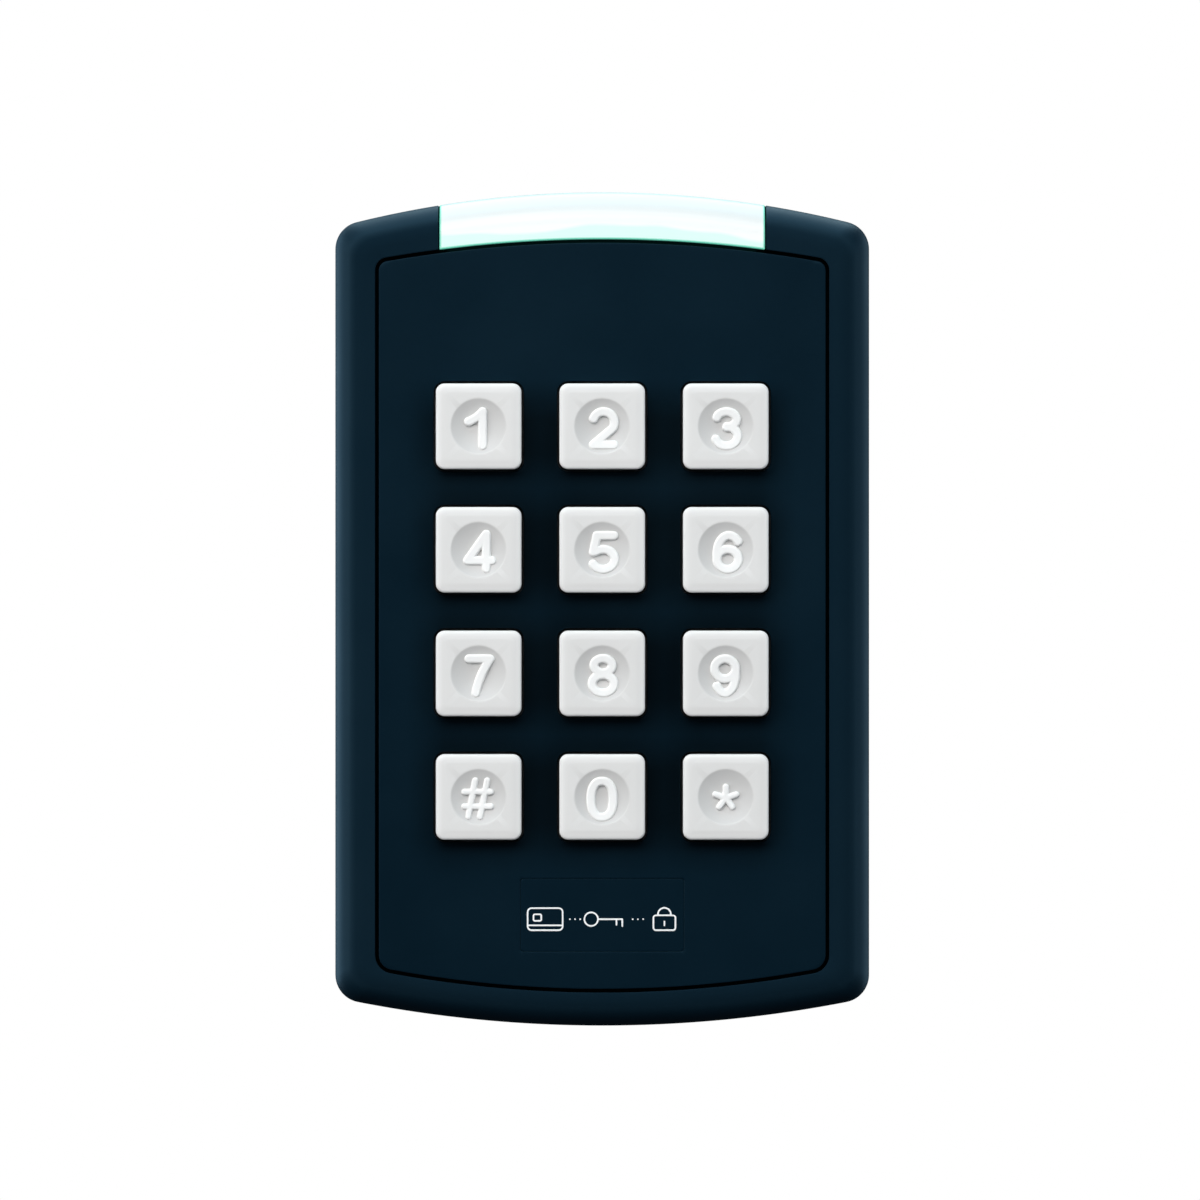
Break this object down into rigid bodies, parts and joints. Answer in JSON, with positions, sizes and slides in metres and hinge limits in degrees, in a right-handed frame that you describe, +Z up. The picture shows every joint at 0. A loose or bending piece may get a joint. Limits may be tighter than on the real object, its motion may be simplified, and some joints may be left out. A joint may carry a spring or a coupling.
{
  "type": "keypad access reader",
  "caption": "Wall-mounted access control reader with an arched housing, a raised square-key keypad and a light bar along its top edge.",
  "frame": {"origin": "on the wall plane, at the middle of the housing's width and height", "axes": "+X to the right seen from the front, +Y into the wall, +Z up; the keypad faces -Y"},
  "size_m": [0.0826, 0.0245, 0.1288],
  "materials": {
    "housing_plastic": "moulded, fine satin texture, dark navy",
    "panel_plastic": "moulded, fine matte texture, dark navy",
    "badge_plastic": "dark label with a thin white pictogram",
    "lens_plastic": "frosted translucent light bar, pale mint white",
    "guide_plastic": "clear moulded light guide",
    "led_resin": "clear resin",
    "key_plastic": "light grey, satin, with raised white legends",
    "silicone": "translucent grey silicone",
    "board_laminate": "green solder mask on glass-fibre laminate",
    "component_plastic": "black moulded packages",
    "terminal_plastic": "green terminal block",
    "copper_wire": "enamelled copper winding",
    "can_metal": "drawn cans",
    "screw_steel": "zinc-plated",
    "spring_steel": "spring wire",
    "base_plastic": "moulded, black",
    "seal_rubber": "black, matte",
    "plunger_plastic": "white acetal"
  },
  "bodies": {
    "reader_body": {"front_housing": "housing_plastic", "light_lens": "lens_plastic", "light_guide": "guide_plastic", "status_led_1": "led_resin", "status_led_2": "led_resin", "status_led_3": "led_resin", "status_led_4": "led_resin", "face_panel": "panel_plastic", "badge_plate": "badge_plastic", "keypad_mat": "silicone", "main_board": "board_laminate", "antenna_coil": "copper_wire", "terminal_block": "terminal_plastic", "sounder": "component_plastic", "processor_chip": "component_plastic", "reader_chip": "component_plastic", "voltage_regulator": "component_plastic", "crystal": "can_metal", "supply_capacitor": "can_metal", "filter_capacitor": "can_metal", "board_screw_1": "screw_steel", "board_screw_2": "screw_steel", "board_screw_3": "screw_steel", "board_screw_4": "screw_steel", "base_plate": "base_plastic", "base_gasket": "seal_rubber", "cable_grommet": "seal_rubber", "security_screw": "screw_steel", "tamper_switch": "component_plastic", "tamper_spring": "spring_steel"},
    "key_1": {"key_1": "key_plastic"},
    "key_2": {"key_2": "key_plastic"},
    "key_3": {"key_3": "key_plastic"},
    "key_4": {"key_4": "key_plastic"},
    "key_5": {"key_5": "key_plastic"},
    "key_6": {"key_6": "key_plastic"},
    "key_7": {"key_7": "key_plastic"},
    "key_8": {"key_8": "key_plastic"},
    "key_9": {"key_9": "key_plastic"},
    "key_hash": {"key_hash": "key_plastic"},
    "key_0": {"key_0": "key_plastic"},
    "key_star": {"key_star": "key_plastic"},
    "tamper_plunger": {"tamper_plunger": "plunger_plastic"}
  },
  "joints": [
    {"name": "key_1_press", "type": "slide", "parent": "reader_body", "child": "key_1", "axis": [0, 1, 0], "range_m": [0, 0.0012], "stiffness_N_per_m": 500, "springref_m": -0.0012, "deforming": ["keypad_mat"]},
    {"name": "key_2_press", "type": "slide", "parent": "reader_body", "child": "key_2", "axis": [0, 1, 0], "range_m": [0, 0.0012], "stiffness_N_per_m": 500, "springref_m": -0.0012, "deforming": ["keypad_mat"]},
    {"name": "key_3_press", "type": "slide", "parent": "reader_body", "child": "key_3", "axis": [0, 1, 0], "range_m": [0, 0.0012], "stiffness_N_per_m": 500, "springref_m": -0.0012, "deforming": ["keypad_mat"]},
    {"name": "key_4_press", "type": "slide", "parent": "reader_body", "child": "key_4", "axis": [0, 1, 0], "range_m": [0, 0.0012], "stiffness_N_per_m": 500, "springref_m": -0.0012, "deforming": ["keypad_mat"]},
    {"name": "key_5_press", "type": "slide", "parent": "reader_body", "child": "key_5", "axis": [0, 1, 0], "range_m": [0, 0.0012], "stiffness_N_per_m": 500, "springref_m": -0.0012, "deforming": ["keypad_mat"]},
    {"name": "key_6_press", "type": "slide", "parent": "reader_body", "child": "key_6", "axis": [0, 1, 0], "range_m": [0, 0.0012], "stiffness_N_per_m": 500, "springref_m": -0.0012, "deforming": ["keypad_mat"]},
    {"name": "key_7_press", "type": "slide", "parent": "reader_body", "child": "key_7", "axis": [0, 1, 0], "range_m": [0, 0.0012], "stiffness_N_per_m": 500, "springref_m": -0.0012, "deforming": ["keypad_mat"]},
    {"name": "key_8_press", "type": "slide", "parent": "reader_body", "child": "key_8", "axis": [0, 1, 0], "range_m": [0, 0.0012], "stiffness_N_per_m": 500, "springref_m": -0.0012, "deforming": ["keypad_mat"]},
    {"name": "key_9_press", "type": "slide", "parent": "reader_body", "child": "key_9", "axis": [0, 1, 0], "range_m": [0, 0.0012], "stiffness_N_per_m": 500, "springref_m": -0.0012, "deforming": ["keypad_mat"]},
    {"name": "key_hash_press", "type": "slide", "parent": "reader_body", "child": "key_hash", "axis": [0, 1, 0], "range_m": [0, 0.0012], "stiffness_N_per_m": 500, "springref_m": -0.0012, "deforming": ["keypad_mat"]},
    {"name": "key_0_press", "type": "slide", "parent": "reader_body", "child": "key_0", "axis": [0, 1, 0], "range_m": [0, 0.0012], "stiffness_N_per_m": 500, "springref_m": -0.0012, "deforming": ["keypad_mat"]},
    {"name": "key_star_press", "type": "slide", "parent": "reader_body", "child": "key_star", "axis": [0, 1, 0], "range_m": [0, 0.0012], "stiffness_N_per_m": 500, "springref_m": -0.0012, "deforming": ["keypad_mat"]},
    {"name": "tamper_plunger_slide", "type": "slide", "parent": "reader_body", "child": "tamper_plunger", "axis": [0, 1, 0], "range_m": [0, 0.0015], "stiffness_N_per_m": 50, "springref_m": 0.0035, "deforming": ["tamper_spring"]}
  ]
}
